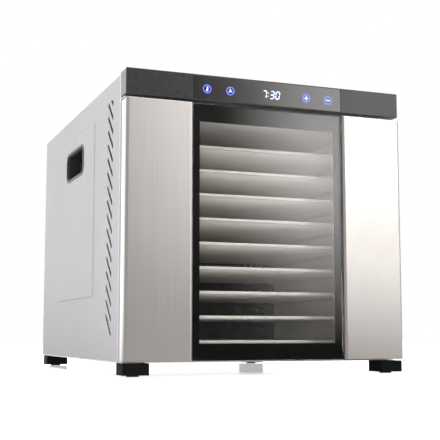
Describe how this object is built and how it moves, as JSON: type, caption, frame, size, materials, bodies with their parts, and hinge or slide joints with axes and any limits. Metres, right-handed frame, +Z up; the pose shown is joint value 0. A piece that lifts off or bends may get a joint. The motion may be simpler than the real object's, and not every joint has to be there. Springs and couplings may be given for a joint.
{
  "type": "food dehydrator",
  "caption": "Box-shaped food dehydrator: steel case on four feet, hinged glass door with steel side panels, touch panel above, sliding mesh trays and a rear fan with ring heater.",
  "frame": {"origin": "middle of the outer box, on the surface that the feet stand on", "axes": "+X to the right along the front, -Y out of the front, +Z up"},
  "size_m": [0.3486, 0.456, 0.34],
  "materials": {
    "case_steel": "satin silver paint",
    "door_steel": "vertical brushed",
    "frame_steel": "satin",
    "liner_steel": "mill finish",
    "tray_steel": "polished wire",
    "plated_steel": "zinc plated",
    "door_aluminium": "satin anodised",
    "fan_aluminium": "pressed sheet",
    "black_plastic": "fine grain",
    "panel_plastic": "satin charcoal",
    "gloss_black": "gloss",
    "glass": "clear tempered",
    "border_black": "gloss enamel",
    "rubber": "matt",
    "gasket_rubber": "matt silicone",
    "magnet": "ferrite",
    "motor_steel": "laminated steel",
    "heater_metal": "oxidised sheath",
    "circuit_board": "solder mask",
    "wire_cover": "PVC sleeve",
    "ceramic": "bakelite and ceramic"
  },
  "bodies": {
    "case": {"case_shell": "case_steel", "base_plate": "frame_steel", "front_frame": "frame_steel", "rear_panel": "case_steel", "rear_screws": "plated_steel", "handle_cup_left": "black_plastic", "handle_cup_right": "black_plastic", "foot_front_left": "black_plastic", "foot_front_right": "black_plastic", "foot_rear_left": "black_plastic", "foot_rear_right": "black_plastic", "foot_pads": "rubber", "foot_screws": "plated_steel", "liner_left": "liner_steel", "liner_right": "liner_steel", "liner_floor": "liner_steel", "liner_ceiling": "liner_steel", "rear_baffle": "liner_steel", "control_housing": "panel_plastic", "touch_lens": "gloss_black", "display_module": "black_plastic", "touch_springs": "plated_steel", "control_board": "circuit_board", "hinge_bracket_top": "plated_steel", "hinge_bracket_bottom": "plated_steel", "hinge_pins": "plated_steel", "strike_plates": "plated_steel", "motor_plate": "plated_steel", "fan_motor": "motor_steel", "heating_element": "heater_metal", "heater_clips": "plated_steel", "temperature_sensor": "plated_steel", "thermal_cutout": "ceramic", "power_board": "circuit_board", "wiring_harness": "wire_cover", "cord_gland": "black_plastic"},
    "door": {"door_frame": "door_aluminium", "steel_panel_left": "door_steel", "steel_panel_right": "door_steel", "door_glass": "glass", "glass_surround": "border_black", "door_gasket": "gasket_rubber", "door_magnets": "magnet", "door_screws": "plated_steel", "hinge_bushes": "black_plastic"},
    "fan": {"motor_shaft": "plated_steel", "fan_wheel": "fan_aluminium"},
    "tray_body_1": {"tray_1": "tray_steel"},
    "tray_body_2": {"tray_2": "tray_steel"},
    "tray_body_3": {"tray_3": "tray_steel"},
    "tray_body_4": {"tray_4": "tray_steel"},
    "tray_body_5": {"tray_5": "tray_steel"},
    "tray_body_6": {"tray_6": "tray_steel"},
    "tray_body_7": {"tray_7": "tray_steel"},
    "tray_body_8": {"tray_8": "tray_steel"},
    "tray_body_9": {"tray_9": "tray_steel"}
  },
  "joints": [
    {"name": "door_hinge", "type": "hinge", "parent": "case", "child": "door", "pos_m": [-0.1675, -0.2115, 0.16125], "axis": [0, 0, -1], "range_deg": [0, 115]},
    {"name": "fan_spin", "type": "hinge", "parent": "case", "child": "fan", "pos_m": [0, 0.1508, 0.161], "axis": [0, 1, 0], "continuous": true},
    {"name": "tray_slide_1", "type": "slide", "parent": "case", "child": "tray_body_1", "axis": [0, -1, 0], "range_m": [0, 0.08]},
    {"name": "tray_slide_2", "type": "slide", "parent": "case", "child": "tray_body_2", "axis": [0, -1, 0], "range_m": [0, 0.08]},
    {"name": "tray_slide_3", "type": "slide", "parent": "case", "child": "tray_body_3", "axis": [0, -1, 0], "range_m": [0, 0.08]},
    {"name": "tray_slide_4", "type": "slide", "parent": "case", "child": "tray_body_4", "axis": [0, -1, 0], "range_m": [0, 0.08]},
    {"name": "tray_slide_5", "type": "slide", "parent": "case", "child": "tray_body_5", "axis": [0, -1, 0], "range_m": [0, 0.08]},
    {"name": "tray_slide_6", "type": "slide", "parent": "case", "child": "tray_body_6", "axis": [0, -1, 0], "range_m": [0, 0.08]},
    {"name": "tray_slide_7", "type": "slide", "parent": "case", "child": "tray_body_7", "axis": [0, -1, 0], "range_m": [0, 0.08]},
    {"name": "tray_slide_8", "type": "slide", "parent": "case", "child": "tray_body_8", "axis": [0, -1, 0], "range_m": [0, 0.08]},
    {"name": "tray_slide_9", "type": "slide", "parent": "case", "child": "tray_body_9", "axis": [0, -1, 0], "range_m": [0, 0.08]}
  ],
  "couplings": [
    {"joint": "tray_slide_1", "follows": "door_hinge", "m_per_rad": 0.03985},
    {"joint": "tray_slide_2", "follows": "door_hinge", "m_per_rad": 0.03985},
    {"joint": "tray_slide_3", "follows": "door_hinge", "m_per_rad": 0.03985},
    {"joint": "tray_slide_4", "follows": "door_hinge", "m_per_rad": 0.03985},
    {"joint": "tray_slide_5", "follows": "door_hinge", "m_per_rad": 0.03985},
    {"joint": "tray_slide_6", "follows": "door_hinge", "m_per_rad": 0.03985},
    {"joint": "tray_slide_7", "follows": "door_hinge", "m_per_rad": 0.03985},
    {"joint": "tray_slide_8", "follows": "door_hinge", "m_per_rad": 0.03985},
    {"joint": "tray_slide_9", "follows": "door_hinge", "m_per_rad": 0.03985}
  ]
}
